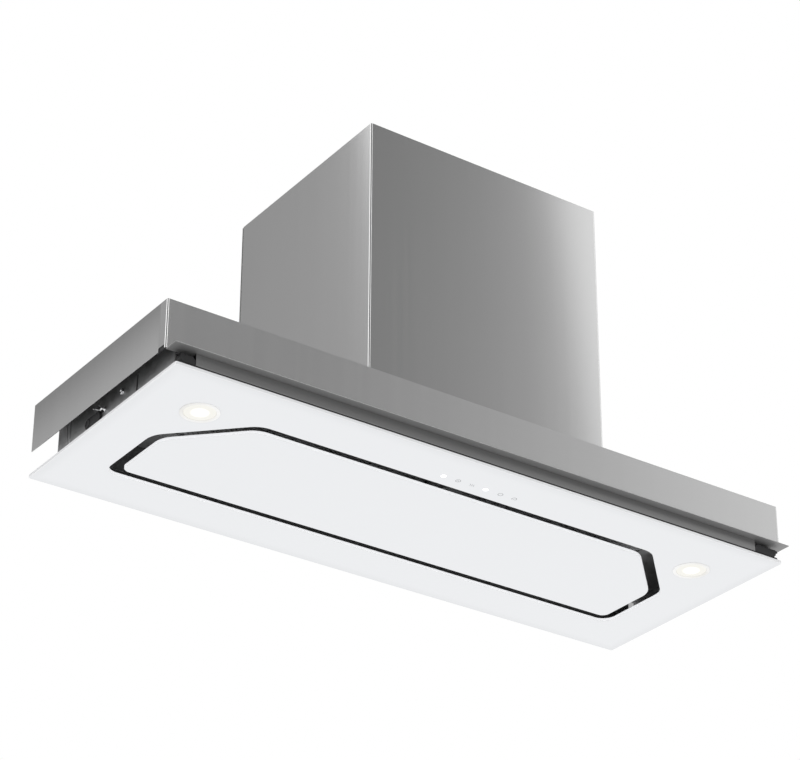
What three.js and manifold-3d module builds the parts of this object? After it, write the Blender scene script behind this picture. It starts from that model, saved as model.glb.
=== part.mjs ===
// Island range hood with a ceiling casing, a flat steel canopy and a glass underside.
// Millimetres, +Z up, +X to the right and -Y to the front. The origin is the centre of the face
// that meets the ceiling, so the whole hood hangs below z = 0.

import * as THREE from 'three';
import { mergeVertices } from 'three/addons/utils/BufferGeometryUtils.js';
import Module from 'manifold-3d';

const wasm = await Module();
wasm.setup();

// ---- driving dimensions: casing and canopy
const casingWidth = 465;
const casingDepth = 394;
const casingHeight = 464;
const canopyWidth = 1200;
const canopyDepth = 410;
const canopyHeight = 83;
const canopyForward = 4; // how far the canopy's centre is in front of the casing's
const sheet = 1.2;
const bend = 3; // outside radius of a folded corner
const bodyBend = 2; // the same, on the inner body
const gap = 0.3; // between pieces that touch
const seam = 0.6; // between panels laid edge to edge
const past = 1; // how far a cutting tool runs past a face
const bite = 1; // how far two pieces that are joined run into each other
const cornerReturn = 20; // of the front panel, round the canopy's corners
const returnNotch = 6; // by which a return stops short of the canopy's lower edge
const backPanelHeight = 29; // below the top plate
const cornerBlockLeg = 25;
const cornerBlockWall = 2.5;
const lipDepth = 26;
const lipEndInset = 3;
const lipLegHeight = 22;

// ---- driving dimensions: ceiling plate and posts
const plateThickness = 3;
const plateSlotLength = 24;
const plateSlotWidth = 9;
const plateSlotInset = 38;
const postLeg = 18;
const postWall = 1.5;
const postClearance = 2;

// ---- driving dimensions: glass underside
const glassThickness = 6;
const glassEndInset = 11; // from the canopy's sides
const glassFrontProud = 14; // in front of the canopy
const glassBackProud = 27; // behind the canopy
const glassDrop = 31.4; // from the canopy's lower edge to the underside of the glass
const glassCorner = 3;
const glassEndBorder = 85; // from the glass's ends to the opening in it
const glassFrontBorder = 92; // from its front edge
const glassBackBorder = 89;
const inletChamfer = 120;
const inletCorner = 24;
const cutCornerRadius = 42; // where the cut corners meet the sides, on the opening and the panel
const inletSlot = 20; // open all round the centre panel
const panelCorner = 14;

// ---- driving dimensions: inner body
const bodyInset = 20; // from the canopy's sides to the body's
const bodyFrontInset = 4;
const bodyBackInset = 49;
const bodyTopGap = 8; // below the canopy's top plate
const deckHeight = 38; // of the filter deck above the canopy's lower edge
const flange = 12; // turned in along the foot of each wall
const sealThickness = 3.2;
const sealWidth = 14;
const sealFrontWidth = 24;
const sealProud = 1; // outside the walls and in front of the strip
const stripForward = 11; // how far the front strip stands in front of the canopy
const stripBend = 1.5;
const leftCapWidth = 26;
const rightCapWidth = 46;
const capChamfer = 5;
const capTopGap = 6; // from the end caps to the top of the strip
const wallSlotWidth = 5;
const wallSlotHeight = 28;
const wallSlotLow = -15; // foot of the slots, measured from the canopy's lower edge
const frontSlotBack = 115; // places along the side walls, from the canopy's front
const rearSlotBack = 231;
const screwBack = 159;
const screwLevel = 2; // above the canopy's lower edge
const wingScrewBack = 213;
const wingScrewLevel = -5;
const cableBoxBack = 220; // front end of the cable box
const cableBoxLength = 46;
const cableBoxHeight = 18;
const cableBoxTop = -2.6; // measured from the canopy's lower edge
const cableBoxProud = 5.5;
const cableBoxCorner = 8;
const sideScrewReach = 6; // inside the wall
const sideScrewRadius = 4.5;
const sideScrewHead = 3;
const wingScrewReach = 8;
const wingCollarRadius = 5;
const wingCollarHeight = 7;
const wingStud = 6;
const wingSpan = 18;
const wingHeight = 9;
const wingThickness = 2;

// ---- driving dimensions: lamps and keys
const lampEndInset = 106.5; // from the glass's ends
const lampFrontInset = 107.5; // from the glass's front edge
const lampRingRadius = 31;
const lampRingProud = 0.8;
const lampHoleRadius = 29;
const lampLensRadius = 25;
const lampBodyHeight = 22;
const lampRingRise = 2; // above the glass
const lampLensRecess = 0.5; // above the foot of the ring
const lampLensThickness = 3;
const keyBoardWidth = 190;
const keyBoardDepth = 32;
const keyBoardHeight = 9;
const keyBoardFrontInset = 64; // from the glass's front edge to the board's centre

// ---- driving dimensions: centre panel hinge
const trayInset = 15;
const trayHeight = 9;
const trayBackGap = 4; // from the tray to the ears' eyes
const hingeInset = 14; // from the panel's back edge to its hinge pins
const hingeRise = 9; // from the top of the glass to the hinge pins
const hingeSpacing = 700;
const hingePinRadius = 3;
const hingeEar = 6; // radius of the ear round a pin
const hingeEarWidth = 4;
const hingeCheekWidth = 2;
const hingeHead = 3;
const runningClearance = 0.3;
const sideClearance = 0.5;
const magnetWidth = 40;
const magnetHeight = 8;
const magnetGap = 0.5;
const magnetLeg = 3;
const magnetReach = 10; // behind the front rim of the tray

// ---- driving dimensions: grease filters
const filterThickness = 9;
const filterFrontInset = 6; // from the centre panel's front edge
const filterEndInset = 17; // from the centre panel's ends
const filterBackGap = 14; // from the hinge brackets
const filterMiddleGap = 10; // between the two filters
const filterBar = 18; // width of a filter's frame
const filterFit = 1.5; // round a filter in the deck
const meshInset = 1.5; // of a filter's mesh, inside the faces of its frame
const tongueWidth = 24;
const tongueReach = 8;
const latchWidth = 26;
const latchDepth = 12;
const latchTravel = 6;
const latchReach = 4;
const latchPlate = 1.5;
const latchStem = 5;
const latchKnobRadius = 5;
const latchKnobHeight = 5;

// ---- driving dimensions: blower
const impellerRadius = 115;
const impellerWidth = 190;
const bladeCount = 24;
const bladeDepth = 17;
const bladeThickness = 1.6;
const bladeAngle = 35;
const ringThickness = 4;
const bladeInset = 1; // of a blade, inside the rings
const discInset = 2;
const discThickness = 3;
const hubRadius = 12;
const hubLength = 24;
const shaftRadius = 4;
const shaftShortEnd = 16; // from the disc
const shaftLongEnd = 30;
const scrollWidth = 214;
const scrollClearance = 10; // at the cut-off, where the scroll is nearest to the impeller
const scrollSideGap = 13.2; // from the scroll to the casing, front and back
const scrollWall = 1.5;
const cutOffAngle = 60;
const scrollDrop = 236; // from the ceiling to the impeller's axis
const scrollTop = 72; // from the ceiling to the mouth of the scroll
const scrollSteps = 36;
const inletRadius = 92;
const motorRadius = 44;
const motorStart = 18; // from the disc
const motorBore = 16;
const motorNeckRadius = 26;
const motorLength = 84;
const bracketArm = 14;
const bracketThickness = 3;

// ---- driving dimensions: duct collar and its flaps
const collarRadius = 75;
const collarWall = 3;
const collarTopGap = 2; // below the ceiling face
const collarFlange = 3;
const ductClearance = 6; // round the collar in the ceiling plate
const collarBackGap = 8.5; // from the collar to the casing's back
const flapThickness = 1.5;
const flapDrop = 48; // from the ceiling to the flaps' pin
const flapPinRadius = 2;
const knuckleRadius = 3.5;
const knuckleLength = 16;
const knuckleNear = 26; // from the collar's centre
const knuckleFar = 44;
const flapClearance = 1.5;

// ---- driving dimensions: control box
const controlWidth = 62;
const controlDepth = 150;
const controlHeight = 190;
const controlDrop = 150;
const controlSideGap = 8;
const controlWall = 2;
const controlLid = 2;
const glandHeight = 16;
const glandHoleRadius = 8;
const glandNutRadius = 12;
const glandX = -150;
const glandY = -110;

// ---- levels and lines worked out from the driving dimensions
const canopyTop = -casingHeight;
const canopyFoot = canopyTop - canopyHeight;
const canopyFront = -canopyForward - canopyDepth / 2;
const canopyBack = canopyFront + canopyDepth;
const canopySide = canopyWidth / 2;
const glassUnderside = canopyFoot - glassDrop;
const glassTop = glassUnderside + glassThickness;
const sealTop = glassTop + sealThickness;
const bodySide = canopySide - bodyInset;
const bodyFront = canopyFront + bodyFrontInset;
const bodyBack = canopyBack - bodyBackInset;
const bodyTop = canopyTop - bodyTopGap;
const bodyFoot = sealTop + gap;
const deckTop = canopyFoot + deckHeight;
const deckFoot = deckTop - sheet;
const lipTop = canopyFoot - gap;
const lipFoot = lipTop - sheet;
const glassFront = canopyFront - glassFrontProud;
const glassRear = canopyBack + glassBackProud;
const inletFront = glassFront + glassFrontBorder;
const inletRear = glassRear - glassBackBorder;
const inletY = (inletFront + inletRear) / 2;
const glassHalfWidth = canopySide - glassEndInset;
const inletHalfWidth = glassHalfWidth - glassEndBorder;
const inletHalfDepth = (inletRear - inletFront) / 2;
const panelHalfWidth = inletHalfWidth - inletSlot;
const panelHalfDepth = inletHalfDepth - inletSlot;
const lampX = glassHalfWidth - lampEndInset;
const lampY = glassFront + lampFrontInset;
const hingeY = inletY + panelHalfDepth - hingeInset;
const hingeZ = glassTop + hingeRise;
const filterWidth = panelHalfWidth - filterEndInset - filterMiddleGap / 2;
const filterSpacing = filterWidth + filterMiddleGap;
const filterFront = inletY - panelHalfDepth + filterFrontInset;
const filterRear = hingeY - hingeEar - filterBackGap;
const casingInside = casingDepth / 2 - 2 * sheet - gap; // from the casing's centre to its front and back
// share of the scroll's growth that it has reached at its front
const scrollShareAhead = (180 - cutOffAngle) / (360 - cutOffAngle);
const scrollBaseRadius = impellerRadius + scrollClearance;
const scrollRoom = 2 * (casingInside - scrollSideGap - scrollWall - scrollBaseRadius);
const scrollGrowth = scrollRoom / (1 + scrollShareAhead);
const scrollMouthRadius = scrollBaseRadius + scrollGrowth;
const impellerY = (-scrollGrowth * (1 - scrollShareAhead)) / 2;
const impellerZ = -scrollDrop;
const cutOffY = impellerY + scrollBaseRadius * Math.cos(THREE.MathUtils.degToRad(cutOffAngle));
const mouthBack = impellerY + scrollMouthRadius;
const ductY = casingInside - collarBackGap - collarRadius;

// ---- finishes
const finish = (color, roughness, metalness) =>
  new THREE.MeshStandardMaterial({ color, roughness, metalness });
const brushedSteel = finish(0xb9babb, 0.35, 1);
const zincSteel = finish(0xa4a7a8, 0.5, 1);
const blackPlastic = finish(0x151515, 0.6, 0);
const darkSteel = finish(0x3c3e3f, 0.5, 0.8);
const whiteGlass = finish(0xf0f2f3, 0.08, 0);
const blackRubber = finish(0x0c0c0c, 0.9, 0);
const lampWhite = finish(0xfffbf0, 0.4, 0);
const ringWhite = finish(0xf4f1e6, 0.35, 0);
const aluminiumMesh = finish(0xc4c6c8, 0.45, 1);
const greyPlastic = finish(0x8a8d90, 0.6, 0);
const boardGreen = finish(0x1f5a3a, 0.5, 0);
const motorEnamel = finish(0x2a2c30, 0.5, 0.3);

// ---- shape helpers
const block = (x0, x1, y0, y1, z0, z1) => {
  const geometry = new THREE.BoxGeometry(x1 - x0, y1 - y0, z1 - z0);
  return geometry.translate((x0 + x1) / 2, (y0 + y1) / 2, (z0 + z1) / 2);
};

// A round bar of the given radius along X, Y or Z, from one coordinate to the other.
const bar = (axis, radius, from, to, a, b, sides = 24) => {
  const geometry = new THREE.CylinderGeometry(radius, radius, to - from, sides);
  const middle = (from + to) / 2;
  if (axis === 'x') return geometry.rotateZ(Math.PI / 2).translate(middle, a, b);
  if (axis === 'y') return geometry.translate(a, middle, b);
  return geometry.rotateX(Math.PI / 2).translate(a, b, middle);
};

const solid = (geometry) => {
  const source = geometry.clone();
  source.deleteAttribute('normal');
  source.deleteAttribute('uv');
  const merged = mergeVertices(source, 1e-4);
  return new wasm.Manifold(new wasm.Mesh({
    numProp: 3,
    vertProperties: new Float32Array(merged.attributes.position.array),
    triVerts: new Uint32Array(merged.index.array),
  }));
};

const geometryOf = (manifold) => {
  const { vertProperties, triVerts } = manifold.getMesh();
  const geometry = new THREE.BufferGeometry();
  geometry.setAttribute('position', new THREE.BufferAttribute(new Float32Array(vertProperties), 3));
  geometry.setIndex(new THREE.BufferAttribute(new Uint32Array(triVerts), 1));
  return geometry;
};

const join = (...geometries) => geometryOf(geometries.map(solid).reduce((a, b) => a.add(b)));
const cut = (geometry, ...tools) =>
  geometryOf(tools.map(solid).reduce((a, b) => a.subtract(b), solid(geometry)));

// The points of a path whose corners are rounded; radii holds one radius for each inner corner.
const roundedPath = (points, radii, closed = false) => {
  const corners = points.map(([x, y]) => new THREE.Vector2(x, y));
  const count = corners.length;
  return corners.flatMap((corner, i) => {
    if (!closed && (i === 0 || i === count - 1)) return [corner];
    const before = corners[(i + count - 1) % count].clone().sub(corner).normalize();
    const after = corners[(i + 1) % count].clone().sub(corner).normalize();
    const half = Math.acos(THREE.MathUtils.clamp(before.dot(after), -1, 1)) / 2;
    const radius = radii[i];
    const start = corner.clone().addScaledVector(before, radius / Math.tan(half));
    const inward = before.clone().add(after).normalize();
    const centre = corner.clone().addScaledVector(inward, radius / Math.sin(half));
    const from = start.clone().sub(centre);
    const turn = Math.sign(before.clone().negate().cross(after)) * (Math.PI - 2 * half);
    const steps = Math.max(2, Math.round(Math.abs(turn) / (Math.PI / 10)));
    return Array.from({ length: steps + 1 }, (_, k) =>
      from.clone().rotateAround(new THREE.Vector2(), (turn * k) / steps).add(centre));
  });
};

// The section of a folded sheet: its outer line, and the same line moved to the left by the wall.
const foldedSection = (points, wall, radius) => {
  const corners = points.map(([x, y]) => new THREE.Vector2(x, y));
  const last = corners.length - 1;
  const side = (i) => {
    const run = corners[i + 1].clone().sub(corners[i]).normalize();
    return new THREE.Vector2(-run.y, run.x);
  };
  const turns = corners.map((_, i) => (i === 0 || i === last ? 0 : side(i - 1).cross(side(i))));
  const inner = corners.map((corner, i) => {
    const a = side(Math.max(i - 1, 0));
    const b = side(Math.min(i, last - 1));
    return corner.clone().addScaledVector(a.clone().add(b), wall / (1 + a.dot(b))).toArray();
  });
  const outerLine = roundedPath(points, turns.map((turn) => (turn > 0 ? radius : radius - wall)));
  const innerLine = roundedPath(inner, turns.map((turn) => (turn > 0 ? radius - wall : radius)));
  return new THREE.Shape([...outerLine, ...innerLine.reverse()]);
};

const extrude = (shape, depth) =>
  new THREE.ExtrudeGeometry(shape, { depth, bevelEnabled: false, curveSegments: 4 });

// A section in the XY plane carried upward, and a section in the YZ plane carried along X.
const upright = (shape, z0, z1) => extrude(shape, z1 - z0).translate(0, 0, z0);
const lengthwise = (shape, x0, x1) => {
  const toYZ = new THREE.Matrix4().makeBasis(
    new THREE.Vector3(0, 1, 0),
    new THREE.Vector3(0, 0, 1),
    new THREE.Vector3(1, 0, 0),
  );
  return extrude(shape, x1 - x0).applyMatrix4(toYZ).translate(x0, 0, 0);
};

const rectangle = (x0, x1, y0, y1) => new THREE.Shape([[x0, y0], [x1, y0], [x1, y1], [x0, y1]]
  .map(([x, y]) => new THREE.Vector2(x, y)));

const holed = (shape, ...holes) => {
  shape.holes.push(...holes);
  return shape;
};

// The outline that the inlet and the centre panel share: a rectangle with cut front corners.
const cutCornerOutline = (halfWidth, halfDepth, chamfer, radius) => {
  const back = inletY + halfDepth;
  const front = inletY - halfDepth;
  const points = [
    [-halfWidth, back], [-halfWidth, front + chamfer], [-halfWidth + chamfer, front],
    [halfWidth - chamfer, front], [halfWidth, front + chamfer], [halfWidth, back],
  ];
  const radii = [radius, ...Array(4).fill(cutCornerRadius), radius];
  return new THREE.Shape(roundedPath(points, radii, true));
};

const hood = new THREE.Group();
const add = (name, geometry, material) => {
  const mesh = new THREE.Mesh(geometry, material);
  mesh.name = name;
  hood.add(mesh);
};

// Runs a maker once for the left side and once for the right, with the sign of X.
const bothSides = (make) => [['left', -1], ['right', 1]].forEach(([side, sign]) => make(side, sign));
const span = (sign, a, b) => (sign < 0 ? [-b, -a] : [a, b]);

// ---- ceiling plate, posts and casing
function ceilingPlate() {
  const x = casingWidth / 2 - sheet - seam;
  const y = casingDepth / 2 - 2 * sheet - gap - seam;
  const plate = block(-x, x, -y, y, -plateThickness, 0);
  const foot = -plateThickness - past;
  const slots = [-1, 1].flatMap((sx) => [-1, 1].map((sy) => {
    const cx = sx * (x - plateSlotInset);
    const cy = sy * (y - plateSlotInset);
    const half = (plateSlotLength - plateSlotWidth) / 2;
    const outline = new THREE.Shape();
    outline.absarc(cx + half, cy, plateSlotWidth / 2, -Math.PI / 2, Math.PI / 2, false);
    outline.absarc(cx - half, cy, plateSlotWidth / 2, Math.PI / 2, Math.PI * 1.5, false);
    return upright(outline, foot, past);
  }));
  const duct = bar('z', collarRadius + ductClearance, foot, past, 0, ductY, 32);
  const cable = bar('z', glandHoleRadius, foot, past, glandX, glandY, 16);
  add('ceiling_plate', cut(plate, ...slots, duct, cable), zincSteel);
}

function cornerPosts() {
  const x = casingWidth / 2 - sheet - postClearance;
  const y = casingDepth / 2 - 2 * sheet - gap - postClearance;
  const places = { front_left: [-1, -1], front_right: [1, -1], back_left: [-1, 1], back_right: [1, 1] };
  Object.entries(places).forEach(([name, [sx, sy]]) => {
    const outer = rectangle(x - postLeg, x, y - postLeg, y);
    const x0 = x - postLeg - past;
    const y0 = y - postLeg - past;
    const hollow = block(x0, x - postWall, y0, y - postWall, canopyTop, 0);
    const angle = solid(cut(upright(outer, canopyTop + gap, -plateThickness - gap), hollow));
    add(`corner_post_${name}`, geometryOf(angle.scale([sx, sy, 1])), zincSteel);
  });
}

function casing() {
  const x = casingWidth / 2;
  const front = -casingDepth / 2;
  const back = casingDepth / 2 - sheet - gap;
  const path = [[-x + flange, back], [-x, back], [-x, front], [x, front], [x, back], [x - flange, back]];
  add('casing_wrap', upright(foldedSection(path, sheet, bend), canopyTop + gap, 0), brushedSteel);
  const panel = block(-x, x, casingDepth / 2 - sheet, casingDepth / 2, canopyTop + gap, 0);
  add('casing_back_panel', panel, brushedSteel);
}

// ---- canopy
// The front panel is folded round both corners. Its returns stop short of the lower edge.
function canopyFrontPanel() {
  const end = canopyFront + cornerReturn;
  const path = [[-canopySide, end], [-canopySide, canopyFront], [canopySide, canopyFront], [canopySide, end]];
  const panel = upright(foldedSection(path, sheet, bend), canopyFoot, canopyTop);
  const start = canopyFront + bend + seam;
  const notches = [-1, 1].map((sx) => {
    const [x0, x1] = span(sx, canopySide - sheet - past, canopySide + past);
    return block(x0, x1, start, end + past, canopyFoot - past, canopyFoot + returnNotch);
  });
  add('canopy_front_panel', cut(panel, ...notches), brushedSteel);
}

// The back panel is a short rail under the top plate, which leaves the canopy open below it.
function canopyBackPanel() {
  const foot = canopyTop - backPanelHeight;
  const x = canopySide - sheet - seam;
  const path = [[canopyBack - flange, foot], [canopyBack, foot], [canopyBack, canopyTop]];
  add('canopy_back_panel', lengthwise(foldedSection(path, sheet, bodyBend), -x, x), brushedSteel);
}

function canopy() {
  canopyFrontPanel();
  canopyBackPanel();
  bothSides((side, sign) => {
    const [x0, x1] = span(sign, canopySide - sheet, canopySide);
    const y0 = canopyFront + cornerReturn + seam;
    add(`canopy_${side}_panel`, block(x0, x1, y0, canopyBack, canopyFoot, canopyTop), brushedSteel);
  });
  const x = canopySide - sheet - seam;
  const front = canopyFront + sheet + seam;
  const back = canopyBack - sheet - seam;
  const hole = rectangle(-scrollWidth / 2, scrollWidth / 2, -casingDepth / 3, casingDepth / 3);
  const plate = holed(rectangle(-x, x, front, back), hole);
  add('canopy_top_plate', upright(plate, canopyTop - sheet, canopyTop), brushedSteel);
}

function cornerBlocks() {
  const x = canopySide - sheet - gap;
  const y = canopyFront + sheet + gap;
  const path = [[x - cornerBlockLeg, y], [x, y], [x, y + cornerBlockLeg]];
  const section = foldedSection(path, cornerBlockWall, bend);
  const angle = solid(upright(section, canopyFoot + gap, canopyTop - sheet - seam));
  bothSides((side, sign) => add(`corner_block_${side}`, geometryOf(angle.scale([sign, 1, 1])), blackPlastic));
}

function frontLip() {
  const legFace = canopyFront + sheet + gap;
  const x = canopySide - lipEndInset;
  const legX = canopySide - sheet - cornerBlockLeg - 2 * seam;
  const sole = block(-x, x, canopyFront - lipDepth, legFace + sheet, lipFoot, lipTop);
  const leg = block(-legX, legX, legFace, legFace + sheet, lipFoot, lipTop + lipLegHeight);
  add('front_lip', join(sole, leg), brushedSteel);
}

// ---- inner body
function bodySideWalls() {
  bothSides((side, sign) => {
    const outer = [[bodySide - flange, bodyFoot], [bodySide, bodyFoot], [bodySide, bodyTop]];
    const section = foldedSection(outer, sheet, bodyBend);
    const y0 = bodyFront + sheet + seam;
    const y1 = bodyBack - sheet - seam;
    const wall = extrude(section, y1 - y0).rotateX(Math.PI / 2).translate(0, y1, 0);
    const slots = [frontSlotBack, rearSlotBack].map((back) => {
      const y = canopyFront + back;
      const low = canopyFoot + wallSlotLow;
      const half = wallSlotWidth / 2;
      return block(bodySide - sheet - past, bodySide + past, y - half, y + half, low, low + wallSlotHeight);
    });
    const holes = [[screwBack, screwLevel], [wingScrewBack, wingScrewLevel]].map(([back, level]) => (
      bar('x', wallSlotWidth / 2, bodySide - sheet - past, bodySide + past,
        canopyFront + back, canopyFoot + level, 12)
    ));
    const pierced = cut(wall, ...slots, ...holes);
    add(`body_${side}_wall`, geometryOf(solid(pierced).scale([sign, 1, 1])), darkSteel);
  });
}

function bodyEndWalls() {
  const front = [[bodyFront + flange, bodyFoot], [bodyFront, bodyFoot], [bodyFront, bodyTop]];
  const back = [[bodyBack, bodyTop], [bodyBack, bodyFoot], [bodyBack - flange, bodyFoot]];
  const x = bodySide - flange - seam;
  const turned = (path) => foldedSection([...path].reverse(), sheet, bodyBend);
  add('body_front_wall', lengthwise(turned(front), -x, x), darkSteel);
  add('body_back_wall', lengthwise(turned(back), -x, x), darkSteel);
}

function filterDeck() {
  const x = bodySide - sheet - seam;
  const y0 = bodyFront + sheet + seam;
  const y1 = bodyBack - sheet - seam;
  const holes = [-1, 1].map((sign) => {
    const cx = (sign * filterSpacing) / 2;
    const halfX = filterWidth / 2 + filterFit;
    const front = filterFront - filterFit;
    const rear = filterRear + filterFit;
    return block(cx - halfX, cx + halfX, front, rear, deckFoot - past, deckTop + past);
  });
  add('filter_deck', cut(block(-x, x, y0, y1, deckFoot, deckTop), ...holes), zincSteel);
}

function frontStrip() {
  const face = canopyFront - stripForward;
  const back = canopyFront + bodyFrontInset - seam;
  const foot = bodyFoot;
  const top = lipFoot - gap;
  const path = [[back, top], [face, top], [face, foot], [back, foot]];
  const left = -bodySide + leftCapWidth + seam;
  const right = bodySide - rightCapWidth - seam;
  add('front_strip', lengthwise(foldedSection(path, sheet, stripBend), left, right), brushedSteel);
  const capTop = top - capTopGap;
  bothSides((side, sign) => {
    const width = sign < 0 ? leftCapWidth : rightCapWidth;
    const outer = bodySide;
    const inner = bodySide - width;
    const outline = [
      [inner, foot], [outer - capChamfer, foot], [outer, foot + capChamfer],
      [outer, capTop], [inner + capChamfer, capTop], [inner, capTop - capChamfer],
    ].map(([x, z]) => new THREE.Vector2(x, z));
    const cap = extrude(new THREE.Shape(outline), back - face).rotateX(Math.PI / 2).translate(0, back, 0);
    add(`end_cap_${side}`, geometryOf(solid(cap).scale([sign, 1, 1])), blackPlastic);
  });
}

// ---- side fixings on the inner body
function sideFixings() {
  const screwZ = canopyFoot + screwLevel;
  const wingZ = canopyFoot + wingScrewLevel;
  const clear = wallSlotWidth / 2 - runningClearance;
  bothSides((side, sign) => {
    const face = bodySide + gap;
    const mirror = (geometry) => geometryOf(solid(geometry).scale([sign, 1, 1]));
    const screwY = canopyFront + screwBack;
    const shank = bar('x', clear - runningClearance, bodySide - sideScrewReach, face + bite, screwY, screwZ, 12);
    const head = bar('x', sideScrewRadius, face, face + sideScrewHead, screwY, screwZ, 16);
    add(`side_screw_${side}`, mirror(join(shank, head)), zincSteel);

    const wingY = canopyFront + wingScrewBack;
    const stud = bar('x', clear - runningClearance, bodySide - wingScrewReach, face + wingStud, wingY, wingZ, 12);
    const collar = bar('x', wingCollarRadius, face, face + wingCollarHeight, wingY, wingZ, 16);
    const wingFoot = face + wingCollarHeight - bite;
    const wings = block(
      wingFoot, wingFoot + wingHeight,
      wingY - wingSpan / 2, wingY + wingSpan / 2,
      wingZ - wingThickness / 2, wingZ + wingThickness / 2,
    );
    add(`wing_screw_${side}`, mirror(join(stud, collar, wings)), zincSteel);
  });
  const y0 = canopyFront + cableBoxBack;
  const y1 = y0 + cableBoxLength;
  const top = canopyFoot + cableBoxTop;
  const foot = top - cableBoxHeight;
  const corners = [[y0, foot], [y1, foot], [y1, top], [y0, top]];
  const outline = roundedPath(corners, corners.map(() => cableBoxCorner), true);
  const box = lengthwise(new THREE.Shape(outline), -bodySide - gap - cableBoxProud, -bodySide - gap);
  add('cable_box', box, blackPlastic);
}

// ---- glass underside
function glass() {
  const x = glassHalfWidth;
  const corners = [[-x, glassFront], [x, glassFront], [x, glassRear], [-x, glassRear]];
  const outline = new THREE.Shape(roundedPath(corners, corners.map(() => glassCorner), true));
  const inlet = cutCornerOutline(inletHalfWidth, inletHalfDepth, inletChamfer, inletCorner);
  const plate = upright(holed(outline, inlet), glassUnderside, glassTop);
  const lampHoles = [-1, 1].map((sign) =>
    bar('z', lampHoleRadius, glassUnderside - past, glassTop + past, sign * lampX, lampY, 32));
  add('glass_surround', cut(plate, ...lampHoles), whiteGlass);
}

// The tape between the glass and the foot of the inner body.
function seal() {
  const sealFront = canopyFront - stripForward - sealProud;
  const x = bodySide + sealProud;
  const back = bodyBack + sealProud;
  const hole = rectangle(-x + sealWidth, x - sealWidth, sealFront + sealFrontWidth, back - sealWidth);
  const ring = holed(rectangle(-x, x, sealFront, back), hole);
  add('glass_seal', upright(ring, glassTop + gap, sealTop), blackRubber);
}

function lamps() {
  bothSides((side, sign) => {
    const x = sign * lampX;
    const y = lampY;
    const tube = lampHoleRadius - sideClearance;
    const low = glassUnderside - lampRingProud - gap;
    const top = glassTop + lampRingRise;
    const profile = [
      [lampLensRadius + gap, low], [lampRingRadius, low], [lampRingRadius, low + lampRingProud],
      [tube, low + lampRingProud], [tube, top], [lampLensRadius + gap, top], [lampLensRadius + gap, low],
    ].map(([r, z]) => new THREE.Vector2(r, z));
    const ring = new THREE.LatheGeometry(profile, 36).rotateX(Math.PI / 2).translate(x, y, 0);
    add(`lamp_ring_${side}`, geometryOf(solid(ring)), ringWhite);
    const lensLow = low + lampLensRecess;
    const lens = bar('z', lampLensRadius, lensLow, lensLow + lampLensThickness, x, y, 40);
    add(`lamp_lens_${side}`, lens, lampWhite);
    const bodyLow = top + gap;
    const body = bar('z', tube, bodyLow, bodyLow + lampBodyHeight, x, y, 32);
    add(`lamp_body_${side}`, body, aluminiumMesh);
  });
}

function keyBoard() {
  const y = glassFront + keyBoardFrontInset;
  const foot = glassTop + gap;
  const x = keyBoardWidth / 2;
  const board = block(-x, x, y - keyBoardDepth / 2, y + keyBoardDepth / 2, foot, foot + keyBoardHeight);
  add('touch_key_board', board, boardGreen);
}

// ---- centre panel on its hinge
function centrePanel() {
  const chamfer = inletChamfer - inletSlot * (2 - Math.SQRT2);
  const outline = cutCornerOutline(panelHalfWidth, panelHalfDepth, chamfer, panelCorner);
  add('centre_glass', upright(outline, glassUnderside, glassTop), whiteGlass);

  const x = panelHalfWidth - chamfer;
  const y0 = inletY - panelHalfDepth + trayInset;
  const y1 = hingeY - hingeEar - trayBackGap;
  const foot = glassTop + gap;
  const top = foot + trayHeight;
  const floorTop = foot + sheet;
  const shell = cut(
    block(-x, x, y0, y1, foot, top),
    block(-x + sheet, x - sheet, y0 + sheet, y1 - sheet, floorTop, top + past),
  );
  const ears = [-1, 1].map((sign) => {
    const cx = (sign * hingeSpacing) / 2;
    const x0 = cx - hingeEarWidth / 2;
    const x1 = cx + hingeEarWidth / 2;
    const arm = block(x0, x1, y1 - sheet / 2, hingeY, foot, hingeZ + hingeEar / 2);
    const eye = bar('x', hingeEar, x0, x1, hingeY, hingeZ, 20);
    return join(arm, eye);
  });
  const bore = hingePinRadius + runningClearance;
  const pins = [-1, 1].map((sign) => {
    const cx = (sign * hingeSpacing) / 2;
    return bar('x', bore, cx - hingeEarWidth, cx + hingeEarWidth, hingeY, hingeZ, 20);
  });
  add('panel_tray', cut(join(shell, ...ears), ...pins), zincSteel);
}

function panelHinges() {
  bothSides((side, sign) => {
    const cx = (sign * hingeSpacing) / 2;
    const inner = hingeEarWidth / 2 + sideClearance;
    const outer = inner + hingeCheekWidth;
    const top = deckFoot - gap;
    const cheeks = [[-outer, -inner], [inner, outer]].map(([a, b]) => join(
      block(cx + a, cx + b, hingeY - hingeEar, hingeY + hingeEar, hingeZ, top),
      bar('x', hingeEar, cx + a, cx + b, hingeY, hingeZ, 20),
    ));
    const head = block(cx - outer, cx + outer, hingeY - hingeEar, hingeY + hingeEar, top - hingeHead, top);
    const pin = bar('x', hingePinRadius, cx - outer, cx + outer, hingeY, hingeZ, 20);
    add(`hinge_bracket_${side}`, join(...cheeks, head, pin), zincSteel);
  });
}

// A magnet on a leg under the deck, just above the front rim of the centre panel's tray.
function magnetCatch() {
  const rimTop = glassTop + gap + trayHeight;
  const trayFront = inletY - panelHalfDepth + trayInset;
  const deckFront = filterFront - filterFit;
  const half = magnetWidth / 2;
  const low = rimTop + magnetGap;
  const legFront = deckFront - magnetLeg;
  add('magnet_catch', join(
    block(-half, half, legFront, deckFront, low, deckFoot - gap),
    block(-half, half, legFront, trayFront + magnetReach, low, low + magnetHeight),
  ), zincSteel);
}

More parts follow.
